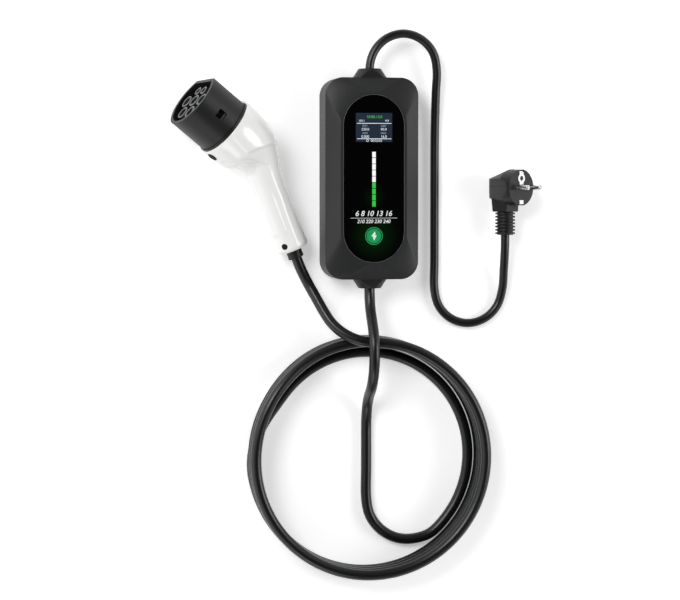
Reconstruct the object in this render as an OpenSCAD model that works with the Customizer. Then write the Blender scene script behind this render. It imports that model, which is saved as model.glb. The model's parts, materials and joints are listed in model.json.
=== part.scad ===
// Portable charger for an electric car: handle with a seven pole connector,
// control box, angled mains plug, leads and a coil of charging cable.
// All lengths are in millimetres. The floor is at z = 0.
// The box lies on its back at the origin, with its mains lead towards +Y.

/* [Control box] */
// Width of the box body
box_width = 96; // [90:1:110]
// Length of the box body without its two glands
box_length = 205; // [196:1:225]
// Thickness of the box body
box_depth = 48; // [44:1:56]
// Corner radius of the box body in front view
box_corner = 18.5; // [14:0.5:22]
// Height where the front bevel begins
bevel_start = 37; // [34:1:39]
// Width of the glossy face panel
panel_width = 63; // [60:1:68]
// Length of the glossy face panel
panel_length = 170; // [166:1:176]

/* [Display] */
// Width of the screen
screen_width = 37.6; // [34:0.1:40]
// Height of the screen
screen_height = 28.6; // [26:0.1:30]
// Distance of the screen centre below the upper end of the panel
screen_drop = 33.4; // [31:0.1:36]
// Distance of the touch button centre above the lower end of the panel
touch_rise = 27; // [25:0.5:29]
// Radius of the touch button ring
touch_radius = 8.9; // [8:0.1:9.5]

/* [Handle] */
// Outer diameter of the connector nose
nose_diameter = 63; // [62.6:0.1:63.4]
// Distance of the nose flat from the nose axis
nose_flat = 24.5; // [24:0.1:25]
// Length from the collar to the rim of the nose
nose_length = 44; // [42:1:46]
// Wall of the nose
nose_wall = 3.5; // [3:0.1:3.8]
// Inner diameter of a power contact
power_bore = 6; // [5.9:0.05:6.1]
// Inner diameter of a signal contact
signal_bore = 3; // [2.9:0.05:3.1]

/* [Mains plug] */
// Diameter of the plug face
plug_face = 37.5; // [36.5:0.1:38]
// Diameter of a plug pin
pin_diameter = 4.8; // [4.7:0.02:4.86]
// Length of a plug pin
pin_length = 19; // [18.5:0.1:19.5]
// Distance between the two pin axes
pin_spacing = 19; // [18.9:0.05:19.1]

/* [Cables] */
// Diameter of the charging cable
charge_diameter = 11; // [10.8:0.1:11]
// Diameter of the mains lead
mains_diameter = 9; // [8.8:0.1:9]
// Outer diameter of the cable coil
coil_diameter = 250; // [249:0.5:250]

/* [Hidden] */
$fn = 64;
wall = 3;
gland_length = 9.3;
mid = box_depth / 2;
screen_y = panel_length / 2 - screen_drop;
touch_y = panel_length / 2 - touch_rise;
board_width = box_width - 18;
board_length = box_length - 55;
boss_x = board_width / 2 - 5;
boss_y = board_length / 2 - 11;
screw_x = box_width / 2 - 12;
screw_y = box_length / 2 - 16.5;

// where the handle and the plug lie on the floor
handle_at = [-117.4, 25.8, 26.42];
handle_turn = [0, -5.5, 112];
handle_roll = [18, 0, 0];
nose_turn = [0, 0, 30];
plug_at = [156.3, -9, 36.35];
plug_turn = [0, 34, 0];
coil_at = [0, -286, 0];

// contact places in the nose, as distance below the axis and sideways
power_at = [[0, 0], [0, 17], [0, -17], [14.7, 8.5], [14.7, -8.5]];
signal_at = [[-12.5, 6.5], [-12.5, -6.5]];

// cover screws in the back of the box
screw_at = [for (x = [-1, 1], y = [-1, 1]) [x * screw_x, y * screw_y]];

// handle sections: x, y, tilt, half height, half width
handle_rings = [
    [44, 0, 0, 33, 33], [37, 0, 0, 33.3, 33.3], [30, 0, 0, 33, 33],
    [18, 0.5, 0, 32, 31.5], [11, 0.3, 4, 30, 29.8], [4, 0.5, 10, 27, 27.5],
    [-2, 1.7, 15, 23.8, 25], [-8, 3.8, 20, 20.8, 22.5], [-14, 7, 26, 18.6, 20.2],
    [-20.8, 12, 30, 17.2, 18.3], [-36.4, 21, 30, 16, 15.8],
    [-55.4, 32, 30, 15.8, 15], [-76.22, 44, 30, 16.4, 15.3], [-91.8, 53, 30, 17.6, 16.2]];

// lead routes, ring by ring
mains_route = [[0, 111.8, 24], [5, 130, 24], [18, 143, 23.5], [36, 148, 22], [54, 143, 19.5],
    [67, 130, 17], [72, 112, 14], [72, 90, 10.5], [72, 66, 7], [72, 42, 5], [72, 18, 4.5],
    [72, -8, 4.5], [72, -34, 4.5], [72, -60, 4.5], [72, -88, 4.5], [72, -114, 4.5],
    [77, -132, 4.5], [90, -145, 4.5], [108, -150, 4.5], [126, -145, 4.5], [139, -132, 4.5],
    [144, -114, 7], [144, -94, 12.6], [144, -76, 16.7], [144, -58, 18.1]];
box_route = [[0, -111.8, 24], [0, -122, 25], [0, -133, 29], [0, -144, 37.5], [0, -155, 46],
    [0, -166, 51], [0, -178, 52.5], [0, -190, 51], [0, -202, 45.5], [0, -213, 36],
    [0, -224, 20], [0, -236, 10.5], [0, -256, 5.5], [0, -276, 5.5], [0, -300, 5.5],
    [0, -329.5, 5.5], [4, -348.5, 5.5], [16, -364, 5.5], [33.5, -373, 5.5], [53, -373.5, 5.5],
    [71, -366.5, 5.5], [91, -343, 5.5], [103, -317.5, 5.5], [107.5, -290, 5.5],
    [104.5, -262, 5.5], [95, -235.5, 5.5], [78.5, -212.5, 5.5], [57, -195, 5.5],
    [31.5, -183, 5.5], [4, -178.5, 5.5], [-24, -181.5, 5.5], [-50.5, -191, 5.5],
    [-73.5, -207.5, 5.5], [-91, -229, 5.5], [-103.5, -248.5, 5.5], [-113.5, -268, 5.5]];
handle_route = [[-74.5, -80.5, 15.4], [-68.5, -94.5, 14], [-61.5, -108.5, 15], [-54.5, -122, 19.5],
    [-47.5, -135.5, 24.5], [-41, -146, 29], [-32.5, -154.5, 33], [-22, -161, 36.5],
    [-10.5, -165, 38.5], [1.5, -166.5, 38.5]];

// plain helpers
module slab(w, l, r, h) {
    linear_extrude(h) union() {
        square([w - 2 * r, l], center = true);
        square([w, l - 2 * r], center = true);
        for (x = [-1, 1], y = [-1, 1])
            translate([x * (w / 2 - r), y * (l / 2 - r)]) circle(r);
    }
}

module at_handle() { translate(handle_at) rotate(handle_turn) rotate(handle_roll) children(); }
module at_nose() { at_handle() rotate(nose_turn) children(); }
module at_plug() { translate(plug_at) rotate(plug_turn) children(); }

function unit(v) = v / norm(v);
function tangent(p, i, a, b) = i == 0 ? a : i == len(p) - 1 ? b : unit(p[i + 1] - p[i - 1]);
function side(t) = unit(cross([0, 0, 1], t));

// a tube swept along a route, with its two end directions given
module tube(p, d, a, b, n = 12) {
    r = d / 2;
    m = len(p);
    points = [for (i = [0 : m - 1])
        let (t = tangent(p, i, a, b), s = side(t), u = cross(t, s))
        for (k = [0 : n - 1]) p[i] + r * cos(k * 360 / n) * s + r * sin(k * 360 / n) * u];
    walls = [for (i = [0 : m - 2], k = [0 : n - 1])
        [i * n + k, (i + 1) * n + k, (i + 1) * n + (k + 1) % n, i * n + (k + 1) % n]];
    polyhedron(points, concat([[for (k = [0 : n - 1]) k]], walls,
        [[for (k = [n - 1 : -1 : 0]) (m - 1) * n + k]]), convexity = 10);
}

// handle skin as one loft through its rings, drawn back by the given wall
module loft(back, first, last, n = 40) {
    rings = [for (i = [first : last]) handle_rings[i]];
    m = len(rings);
    points = [for (q = rings, k = [0 : n - 1])
        let (t = (k + 0.5) * 360 / n, y = (q[3] - back) * cos(t), z = (q[4] - back) * sin(t))
        [q[0] + y * sin(q[2]), q[1] + y * cos(q[2]), z]];
    walls = [for (i = [0 : m - 2], k = [0 : n - 1], h = [0, 1])
        h == 0 ? [i * n + k, i * n + (k + 1) % n, (i + 1) * n + (k + 1) % n]
               : [i * n + k, (i + 1) * n + (k + 1) % n, (i + 1) * n + k]];
    polyhedron(points, concat([[for (k = [n - 1 : -1 : 0]) k]], walls,
        [[for (k = [0 : n - 1]) (m - 1) * n + k]]), convexity = 10);
}

// connector section with its flat, along the nose axis
module nose_bar(r, flat, x0, x1) {
    intersection() {
        translate([x0, 0, 0]) rotate([0, 90, 0]) cylinder(r = r, h = x1 - x0);
        translate([x0 - 1, -flat, -r - 1]) cube([x1 - x0 + 2, flat + r + 1, 2 * r + 2]);
    }
}

// bevelled front outline of the box, drawn back by the given wall
module front_form(back, z0) {
    w = box_width - 2 * back;
    l = box_length - 2 * back;
    translate([0, 0, z0]) slab(w, l, box_corner - back, bevel_start - back / 3 - z0);
    hull() {
        translate([0, 0, bevel_start - back / 3 - 0.01]) slab(w, l, box_corner - back, 0.01, $fn = 40);
        translate([0, 0, box_depth - back - 0.01])
            slab(panel_width + 5 - 1.4 * back, panel_length + 5 - 1.4 * back,
                (panel_width + 4.9 - 1.4 * back) / 2, 0.01, $fn = 40);
    }
}

module gland_hole(y0, y1, r) {
    translate([0, y0, mid]) rotate([-90, 0, 0]) cylinder(r = r, h = y1 - y0);
}

// rear half of the box, with bosses for the board and the screws
module rear_cover() {
    color("#1d1e20") difference() {
        union() {
            difference() {
                slab(box_width, box_length, box_corner, mid);
                translate([0, 0, wall]) slab(box_width - 2 * wall, box_length - 2 * wall,
                    box_corner - wall, mid);
            }
            for (s = screw_at) translate([s[0], s[1], wall - 1]) cylinder(r = 4.5, h = mid - wall + 1);
            for (x = [-boss_x, boss_x], y = [-boss_y, boss_y]) translate([x, y, wall - 1]) cylinder(r = 3, h = 6);
        }
        for (s = screw_at) {
            translate([s[0], s[1], -1]) cylinder(r = 1.6, h = mid + 2);
            translate([s[0], s[1], -1]) cylinder(r = 3.2, h = 4);
        }
        gland_hole(-box_length / 2 - 1, -box_length / 2 + 4, 10);
        gland_hole(box_length / 2 - 4, box_length / 2 + 1, 10);
        translate([0, 0, mid - 1.4]) seal_ring(0.02);
    }
}

module seal_ring(slack) {
    difference() {
        slab(box_width - 2.2 + slack, box_length - 2.2 + slack, box_corner - 1.1, 2);
        translate([0, 0, -1]) slab(box_width - 4.4 - slack, box_length - 4.4 - slack, box_corner - 2.2, 4);
    }
}

// front half of the box, with bevels, panel pocket and light windows
module front_cover() {
    color("#1d1e20") difference() {
        union() {
            difference() {
                front_form(0, mid);
                front_form(wall, mid - 1);
            }
            intersection() {
                for (s = screw_at) translate([s[0], s[1], mid]) cylinder(r = 4.5, h = 22);
                front_form(1, mid - 1);
            }
        }
        for (s = screw_at) translate([s[0], s[1], mid - 1]) cylinder(r = 1.6, h = 9);
        translate([0, 0, box_depth - 1.6])
            slab(panel_width, panel_length, panel_width / 2 - 0.05, 2);
        translate([0, screen_y, box_depth - 4]) slab(41, 32, 1, 5);
        translate([0, -1.1, box_depth - 4]) slab(5, 58, 1, 5);
        translate([0, -touch_y, box_depth - 4]) cylinder(r = touch_radius + 0.6, h = 5);
        gland_hole(-box_length / 2 - 1, -box_length / 2 + 4, 10);
        gland_hole(box_length / 2 - 4, box_length / 2 + 1, 10);
    }
}

// rubber seal between the two box halves
module cover_seal() {
    color("#39393b") difference() {
        translate([0, 0, mid - 1.4]) intersection() {
            seal_ring(0);
            translate([-box_width, -box_length, 0]) cube([2 * box_width, 2 * box_length, 1.4]);
        }
        gland_hole(-box_length / 2 - 1, box_length / 2 + 1, 10);
    }
}

// four screws driven from the back of the box
module cover_screws() {
    color("#a9abad") for (s = screw_at) translate([s[0], s[1], 0]) difference() {
        union() {
            translate([0, 0, 1]) cylinder(r = 2.9, h = 2);
            translate([0, 0, 2.5]) cylinder(r = 1.6, h = 28);
        }
        translate([0, 0, 0.5]) cylinder(r = 1.3, h = 1.6, $fn = 6);
    }
}

// glossy face panel over the display and the lights
module face_panel() {
    color("#0b0c0d") translate([0, 0, box_depth - 1.6])
        slab(panel_width, panel_length, panel_width / 2 - 0.05, 1.6);
}

// screen module behind the panel
module display_module() {
    color("#233044") translate([0, screen_y, box_depth - 1.6 - 4]) union() {
        translate([0, 0, 2.4]) slab(screen_width, screen_height, 0.8, 1.6);
        slab(40, 31, 1, 2.5);
    }
}

// strip with nine lights, five pale and four green
module led_board() {
    color("#d9dcd6") translate([0, -1.1, box_depth - 1.6 - 3.4]) union() {
        slab(4.4, 57, 0.6, 1.6);
        for (i = [0 : 8]) translate([0, 27.9 - 0.6 - 6.2 * i - 2.5, 1.5]) slab(3, 5, 0.4, 1.9);
    }
}

// round touch pad behind the lower end of the panel
module touch_button() {
    color("#1f8f55") translate([0, -touch_y, box_depth - 1.6 - 3]) union() {
        cylinder(r = touch_radius, h = 3);
        translate([0, 0, -1]) cylinder(r = 5, h = 1.5);
    }
}

// circuit board on the bosses of the rear cover
module main_board() {
    color("#1f5a38") difference() {
        translate([0, 0, 8]) slab(board_width, board_length, 3, 1.6);
        for (x = [-boss_x, boss_x], y = [-boss_y, boss_y]) translate([x, y, 7]) cylinder(r = 1.5, h = 4);
    }
}

// two switching relays
module relays() {
    color("#2b4f9e") for (x = [-20, 20]) translate([x, 22, 9.6]) slab(22, 30, 1, 24);
}

// small supply transformer
module transformer() {
    color("#c9a227") union() {
        translate([-18, -18, 9.6]) slab(24, 20, 1, 6);
        translate([-18, -18, 15.6]) slab(20, 24, 1, 14);
    }
}

// current sensor ring round the live and neutral leads
module leakage_sensor() {
    color("#33363a") translate([18, -22, 9.6]) difference() {
        cylinder(r = 13, h = 12);
        translate([0, 0, -1]) cylinder(r = 6, h = 14);
    }
}

// three storage capacitors
module capacitors() {
    color("#3b3d63") for (x = [-27, -13, 1]) translate([x, -44, 9.6]) cylinder(r = 5.5, h = 18);
}

// screw terminal row for the two cables
module terminal_block() {
    color("#5d9c59") difference() {
        translate([0, 62, 9.6]) slab(46, 14, 1, 14);
        for (x = [-18, -9, 0, 9, 18]) {
            translate([x, 62, 18]) cylinder(r = 2.6, h = 6);
            translate([x, 60, 14]) rotate([-90, 0, 0]) cylinder(r = 2.2, h = 12);
        }
    }
}

// tapered cable gland, drawn for the top end
module gland(d) {
    difference() {
        union() {
            intersection() {
                translate([0, box_length / 2, mid]) rotate([-90, 0, 0])
                    cylinder(r1 = 17.5, r2 = 11.5, h = gland_length);
                translate([-30, box_length / 2 - 1, 11]) cube([60, 12, 26]);
            }
            translate([0, box_length / 2 - wall, mid]) rotate([-90, 0, 0]) cylinder(r = 10, h = wall + 1);
            translate([0, box_length / 2 - wall - 4, mid]) rotate([-90, 0, 0]) cylinder(r = 11.6, h = 4);
        }
        translate([0, box_length / 2 - 12, mid]) rotate([-90, 0, 0]) cylinder(d = d, h = 30);
    }
}

module top_gland() { color("#1a1b1c") gland(mains_diameter); }
module bottom_gland() { color("#1a1b1c") mirror([0, 1, 0]) gland(charge_diameter); }

// black nose of the connector, open at the front, with the lock pocket
module nose_shroud() {
    r = nose_diameter / 2;
    color("#161718") at_nose() difference() {
        union() {
            nose_bar(r, nose_flat, 44, 44 + nose_length);
            nose_bar(r + 1, nose_flat + 1.3, 44, 46.5);
            nose_bar(29.9, nose_flat - 1, 30, 45);
        }
        nose_bar(r - nose_wall, nose_flat - nose_wall, 58, 50 + nose_length);
        nose_bar(26.5, 21, 29, 59);
        translate([59.5, -1, r - nose_wall - 1]) cube([9, 9, 10]);
    }
}

// insulating carrier with seven round towers
module contact_carrier() {
    color("#1e1f21") at_nose() difference() {
        union() {
            nose_bar(26.5, 21, 32, 58);
            for (c = power_at) translate([57, c[0], c[1]]) rotate([0, 90, 0]) cylinder(r = 6.6, h = 28.5);
            for (c = signal_at) translate([57, c[0], c[1]]) rotate([0, 90, 0]) cylinder(r = 4.4, h = 28.5);
        }
        for (c = power_at) translate([31, c[0], c[1]]) rotate([0, 90, 0]) cylinder(r = 4.4, h = 55.5);
        for (c = signal_at) translate([31, c[0], c[1]]) rotate([0, 90, 0]) cylinder(r = 2.5, h = 55.5);
    }
}

// five sleeves for the power poles
module power_contacts() {
    color("#b9a26a") at_nose() for (c = power_at) translate([32, c[0], c[1]]) rotate([0, 90, 0])
        difference() {
            cylinder(r = 4.4, h = 51);
            translate([0, 0, 12]) cylinder(d = power_bore, h = 40);
        }
}

// two sleeves for the signal poles
module signal_contacts() {
    color("#b9a26a") at_nose() for (c = signal_at) translate([32, c[0], c[1]]) rotate([0, 90, 0])
        difference() {
            cylinder(r = 2.5, h = 51);
            translate([0, 0, 16]) cylinder(d = signal_bore, h = 40);
        }
}

// flat gasket at the foot of the contact towers
module nose_seal() {
    color("#6d7072") at_nose() difference() {
        nose_bar(28, 21, 58, 59.5);
        for (c = power_at) translate([57, c[0], c[1]]) rotate([0, 90, 0]) cylinder(r = 6.6, h = 4);
        for (c = signal_at) translate([57, c[0], c[1]]) rotate([0, 90, 0]) cylinder(r = 4.4, h = 4);
    }
}

// white skin of the handle before it is split in two
module handle_skin() {
    difference() {
        loft(0, 0, 13);
        loft(3, 0, 12);
        translate([30, 0, 0]) rotate([0, 90, 0]) cylinder(r = 29.9, h = 20);
        translate([36, 29, 0]) rotate([-90, 0, 0]) cylinder(r = 5, h = 10);
        rotate([0, 0, 150]) translate([80, 0, 0]) rotate([0, 90, 0]) cylinder(r = 8, h = 40);
        grip_hole(3.2, 6);
    }
}

// hole across the grip end, where its screw sits
module grip_hole(r, deep) {
    rotate([0, 0, 150]) rotate([52, 0, 0]) translate([98, 0, 16.4 - deep]) cylinder(r = r, h = deep + 2);
}

module left_shell() {
    color("#f2f2f0") at_nose() difference() {
        handle_skin();
        translate([-150, -100, 0]) cube([300, 200, 60]);
    }
}

module right_shell() {
    color("#f2f2f0") at_nose() difference() {
        handle_skin();
        translate([-150, -100, -60]) cube([300, 200, 60]);
    }
}

// screws that pull the two shells together
module shell_screws() {
    color("#a9abad") at_nose() rotate([0, 0, 150]) translate([40, 0, -12]) cylinder(r = 1.5, h = 24);
}

// dark oval plug under the head
module head_cap() {
    color("#202123") at_nose() translate([36, 30, 0]) rotate([-90, 0, 0]) cylinder(r = 5, h = 3.6);
}

// dark round plug over the grip screw
module grip_cap() {
    color("#202123") at_nose() intersection() {
        grip_hole(3.2, 3.4);
        loft(0.5, 0, 13);
    }
}

// clamp that holds the cable inside the grip
module cable_clamp() {
    color("#55585b") at_nose() rotate([0, 0, 150]) difference() {
        translate([60, -10.2, -7]) cube([12, 20.4, 14]);
        translate([59, 0, 0]) rotate([0, 90, 0]) cylinder(d = charge_diameter, h = 14);
    }
}

// black boot where the cable leaves the grip
module handle_boot() {
    color("#161718") at_nose() rotate([0, 0, 150]) difference() {
        union() {
            translate([85, 0, 0]) rotate([0, 90, 0]) cylinder(r = 8, h = 30);
            translate([84, 0, 0]) rotate([0, 90, 0]) cylinder(r = 11, h = 4);
        }
        translate([82, 0, 0]) rotate([0, 90, 0]) cylinder(d = charge_diameter, h = 35);
    }
}

// body of the angled mains plug, with grip block and cable neck
module plug_body() {
    r = plug_face / 2;
    color("#1b1c1d") at_plug() difference() {
        union() {
            translate([0, 0, -14]) cylinder(r = r, h = 14);
            hull() {
                translate([0, 0, -14]) cylinder(r = r, h = 0.01, $fn = 48);
                translate([-7, -11, -38]) cube([14, 20, 0.01]);
            }
            translate([-4, -7, -41]) cube([8, 16, 3]);
            hull() {
                translate([-8.5, -9, -34]) cube([17, 1, 24]);
                translate([-9, -25, -31.5]) cube([18, 1, 19]);
            }
        }
        for (x = [-1, 1]) translate([x * pin_spacing / 2, 0, -10]) cylinder(d = pin_diameter - 0.8, h = 11);
        translate([0, 9.4, -12]) cylinder(r = 3.4, h = 13);
        for (y = [-1, 1]) translate([-3, y > 0 ? 15.6 : -17.2, -12]) cube([6, 1.6, 13]);
        for (y = [-1, 1]) translate([-3.5, y > 0 ? 17.1 : -r - 2, -12]) cube([7, 3.8, 13]);
    }
}

module cylinder_pin(x) { translate([x, 0, 0]) cylinder(d = pin_diameter, h = pin_length - 1); }

module plug_pin(x) {
    translate([x, 0, -10]) cylinder(d = pin_diameter - 0.8, h = 11);
    cylinder_pin(x);
    translate([x, 0, pin_length - 1]) cylinder(d1 = pin_diameter, d2 = pin_diameter - 1.6, h = 1);
}

module plug_pin_left() { color("#c9cccd") at_plug() plug_pin(-pin_spacing / 2); }
module plug_pin_right() { color("#c9cccd") at_plug() plug_pin(pin_spacing / 2); }

// two earth springs at the rim of the plug
module earth_clip() {
    color("#d4d6d7") at_plug() union() {
        translate([-3, 15.6, -12]) cube([6, 1.4, 11.6]);
        translate([-3, -17.2, -12]) cube([6, 1.4, 12]);
        translate([-3, -17.2, 0]) cube([6, 4.2, 0.6]);
    }
}

// metal lined socket for an earth pin
module earth_socket() {
    color("#d4d6d7") at_plug() difference() {
        union() {
            translate([0, 9.4, -12]) cylinder(r = 3.4, h = 12.6);
            translate([0, 9.4, 0]) cylinder(r = 5.1, h = 0.6);
            translate([-3, 2.8, 0]) cube([6, 12.8, 0.6]);
        }
        translate([0, 9.4, -10]) cylinder(r = 2.4, h = 13);
    }
}

// ribbed boot of the plug
module plug_boot() {
    color("#1b1c1d") at_plug() translate([0, 0, -22]) rotate([90, 0, 0]) difference() {
        union() {
            translate([0, 0, 25]) cylinder(r = 8.2, h = 24);
            for (i = [0 : 6]) translate([0, 0, 25.9 + 3.4 * i]) cylinder(r = 10.3, h = 1.9);
        }
        translate([0, 0, 26]) cylinder(d = mains_diameter, h = 24);
    }
}

// leads and coil
module mains_lead() {
    color("#1c1d1f") tube(mains_route, mains_diameter, [0, 1, 0], [0, 1, 0]);
}

module box_lead() {
    color("#1c1d1f") tube(box_route, charge_diameter, [0, -1, 0], [-0.46, -0.89, 0]);
}

module handle_lead() {
    color("#1c1d1f") tube(handle_route, charge_diameter, [0.373, -0.923, -0.096], [1, 0, 0]);
}

module charge_coil() {
    r = charge_diameter / 2;
    m = coil_diameter / 2 - r;
    color("#1c1d1f") translate(coil_at) rotate_extrude($fn = 96) union() {
        for (i = [0 : 3]) translate([m, r + 2 * r * i]) circle(r, $fn = 24);
        translate([m - r * 0.72, r]) square([r * 1.44, 6 * r]);
    }
}

rear_cover();
front_cover();
cover_seal();
cover_screws();
face_panel();
display_module();
led_board();
touch_button();
main_board();
relays();
transformer();
leakage_sensor();
capacitors();
terminal_block();
top_gland();
bottom_gland();
nose_shroud();
contact_carrier();
power_contacts();
signal_contacts();
nose_seal();
left_shell();
right_shell();
shell_screws();
head_cap();
grip_cap();
cable_clamp();
handle_boot();
plug_body();
plug_pin_left();
plug_pin_right();
earth_clip();
earth_socket();
plug_boot();
mains_lead();
box_lead();
handle_lead();
charge_coil();
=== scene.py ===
"""Finishes a portable car charger around its CAD frame: handle, control box, plug and cables."""
import json
import math

import bpy
from mathutils import Matrix, Vector


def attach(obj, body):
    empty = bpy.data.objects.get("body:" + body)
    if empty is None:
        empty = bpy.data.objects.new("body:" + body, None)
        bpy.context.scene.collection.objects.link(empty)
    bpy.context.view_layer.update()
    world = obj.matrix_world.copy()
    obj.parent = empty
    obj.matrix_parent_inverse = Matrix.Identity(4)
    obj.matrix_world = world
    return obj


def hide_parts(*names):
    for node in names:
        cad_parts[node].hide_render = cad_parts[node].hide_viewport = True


bl_info = {
    "name": "Portable car charger",
    "version": (1, 0, 0),
    "blender": (4, 5, 0),
    "location": "View3D > Sidebar > Charger",
    "description": "Finishes the charger's handle, control box, plug and cables",
    "category": "Object",
}

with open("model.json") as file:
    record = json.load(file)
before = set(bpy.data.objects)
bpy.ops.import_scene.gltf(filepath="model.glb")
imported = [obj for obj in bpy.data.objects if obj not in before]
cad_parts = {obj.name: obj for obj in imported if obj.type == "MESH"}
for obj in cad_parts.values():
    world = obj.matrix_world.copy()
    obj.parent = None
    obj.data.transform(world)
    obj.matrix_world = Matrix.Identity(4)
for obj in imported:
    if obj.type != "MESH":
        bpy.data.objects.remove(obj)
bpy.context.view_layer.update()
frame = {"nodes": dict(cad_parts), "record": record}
NODES = frame["nodes"]
SLOTS = {p["node"]: p["material_slot"] for p in frame["record"]["subparts"]}

MM = 0.001
# Places on the control box in metres: the height of its face, then lengths along it.
TOP_FACE = 0.048
SCREEN_Y = 0.0516
GREEN_GLOW_Y = -0.019
TOUCH_Y = -0.058
# How far printed signs stand proud of the face.
PRINT = 0.00002
# The contact places in the nose, as distance below its axis and sideways, in millimetres.
POWER_AT = ((0, 0), (0, 17), (0, -17), (14.7, 8.5), (14.7, -8.5))
SIGNAL_AT = ((-12.5, 6.5), (-12.5, -6.5))


def turn(angle, axis):
    """A rotation by an angle in degrees."""
    return Matrix.Rotation(math.radians(angle), 4, axis)


# The places in which the handle and the plug lie, as in the part's source.
HANDLE_PLACE = (Matrix.Translation(Vector((-117.4, 25.8, 26.42)) * MM)
                @ turn(112, "Z") @ turn(-5.5, "Y") @ turn(18, "X"))
NOSE_PLACE = HANDLE_PLACE @ turn(30, "Z")
PLUG_PLACE = Matrix.Translation(Vector((156.3, -9, 36.35)) * MM) @ turn(34, "Y")


class ChargerSizes(bpy.types.PropertyGroup):
    cable_width: bpy.props.FloatProperty(
        name="Charging cable", description="Diameter of the charging cable",
        default=0.011, unit="LENGTH")
    lead_width: bpy.props.FloatProperty(
        name="Mains lead", description="Diameter of the mains lead", default=0.009, unit="LENGTH")
    panel_width: bpy.props.FloatProperty(
        name="Panel width", description="Width of the glossy face panel",
        default=0.063, unit="LENGTH")
    panel_length: bpy.props.FloatProperty(
        name="Panel length", description="Length of the glossy face panel",
        default=0.170, unit="LENGTH")
    edge: bpy.props.FloatProperty(
        name="Edge radius", description="Rounding of the moulded edges",
        default=0.0006, unit="LENGTH")


class ChargerColours(bpy.types.PropertyGroup):
    box: bpy.props.StringProperty(
        name="Box", description="Colour of the control box", default="121314")
    shell: bpy.props.StringProperty(
        name="Handle", description="Colour of the white handle", default="F2F2F0")
    nose: bpy.props.StringProperty(
        name="Nose", description="Colour of the connector nose", default="0F1011")
    cable: bpy.props.StringProperty(
        name="Cable", description="Colour of the cable sheath", default="0F1011")
    green: bpy.props.StringProperty(
        name="Green", description="Colour of the green lights", default="37C23F")


def sizes():
    return bpy.context.scene.charger_sizes


def colours():
    return bpy.context.scene.charger_colours


def linear(hexa):
    """An sRGB hex colour as the linear values that a shader wants."""
    out = []
    for i in (0, 2, 4):
        c = int(hexa[i:i + 2], 16) / 255
        out.append(c / 12.92 if c <= 0.04045 else ((c + 0.055) / 1.055) ** 2.4)
    return (*out, 1.0)


def add(tree, kind, settings=None, **links):
    """Adds one node; settings fill its sockets or attributes, links join its inputs to outputs.

    A link is named for its input, or i and the input's number where names repeat.
    """
    n = tree.nodes.new(kind)
    for key, value in (settings or {}).items():
        if key in n.inputs:
            n.inputs[key].default_value = value
        else:
            setattr(n, key, value)
    for key, value in links.items():
        number = key[1:]
        tree.links.new(value, n.inputs[int(number) if number.isdigit() else key.replace("_", " ")])
    return n


# The numbers of a Mix node's sockets once it mixes colours.
MIX_FACTOR, MIX_COLOUR, MIX_RESULT = 0, 6, 2
# Patches of other gloss are about 36 mm across, and the mould grain is 0.2 mm deep at most.
PATCHES_PER_METRE = 28.0
GRAIN_DEPTH = 0.0002


def start(name):
    """A fresh material with its surface shader and its Object coordinates."""
    m = bpy.data.materials.new(name)
    m.use_nodes = True
    t = m.node_tree
    t.nodes.clear()
    out = add(t, "ShaderNodeOutputMaterial")
    shader = add(t, "ShaderNodeBsdfPrincipled")
    t.links.new(shader.outputs["BSDF"], out.inputs["Surface"])
    place = add(t, "ShaderNodeTexCoord")
    return m, t, shader, place.outputs["Object"]


def moulded(name, hexa, rough, grain_mm, depth, spread=0.06, ior=1.5, coat=0.0):
    """Moulded plastic or rubber: even pigment, a fine mould grain and patches of other gloss."""
    m, t, s, at = start(name)
    fine = add(t, "ShaderNodeTexNoise", {"Scale": 1 / (grain_mm * MM), "Detail": 3.0}, Vector=at)
    broad = add(t, "ShaderNodeTexNoise", {"Scale": PATCHES_PER_METRE, "Detail": 4.0}, Vector=at)
    tone = add(t, "ShaderNodeMapRange", {"To Min": 1 - spread, "To Max": 1 + spread},
               Value=broad.outputs["Fac"])
    colour = add(t, "ShaderNodeMix", {"data_type": "RGBA", "blend_type": "MULTIPLY"},
                 i7=tone.outputs["Result"])
    colour.inputs[MIX_FACTOR].default_value = 1.0
    colour.inputs[MIX_COLOUR].default_value = linear(hexa)
    t.links.new(colour.outputs[MIX_RESULT], s.inputs["Base Color"])
    gloss = add(t, "ShaderNodeMapRange",
                {"To Min": rough * 0.88, "To Max": min(1.0, rough * 1.14)},
                Value=broad.outputs["Fac"])
    t.links.new(gloss.outputs["Result"], s.inputs["Roughness"])
    bump = add(t, "ShaderNodeBump", {"Strength": depth, "Distance": GRAIN_DEPTH},
               Height=fine.outputs["Fac"])
    t.links.new(bump.outputs["Normal"], s.inputs["Normal"])
    s.inputs["IOR"].default_value = ior
    if coat:
        s.inputs["Coat Weight"].default_value = coat
        s.inputs["Coat Roughness"].default_value = 0.06
    return m


def metal(name, hexa, rough, line_mm):
    """Turned or stamped metal with the fine marks of its tool."""
    m, t, s, at = start(name)
    s.inputs["Metallic"].default_value = 1.0
    marks = add(t, "ShaderNodeTexNoise", {"Scale": 1 / (line_mm * MM), "Detail": 1.0}, Vector=at)
    tone = add(t, "ShaderNodeMapRange", {"To Min": 0.96, "To Max": 1.03},
               Value=marks.outputs["Fac"])
    colour = add(t, "ShaderNodeMix", {"data_type": "RGBA", "blend_type": "MULTIPLY"},
                 i7=tone.outputs["Result"])
    colour.inputs[MIX_FACTOR].default_value = 1.0
    colour.inputs[MIX_COLOUR].default_value = linear(hexa)
    t.links.new(colour.outputs[MIX_RESULT], s.inputs["Base Color"])
    gloss = add(t, "ShaderNodeMapRange", {"To Min": rough * 0.9, "To Max": rough * 1.12},
                Value=marks.outputs["Fac"])
    t.links.new(gloss.outputs["Result"], s.inputs["Roughness"])
    return m


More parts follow.
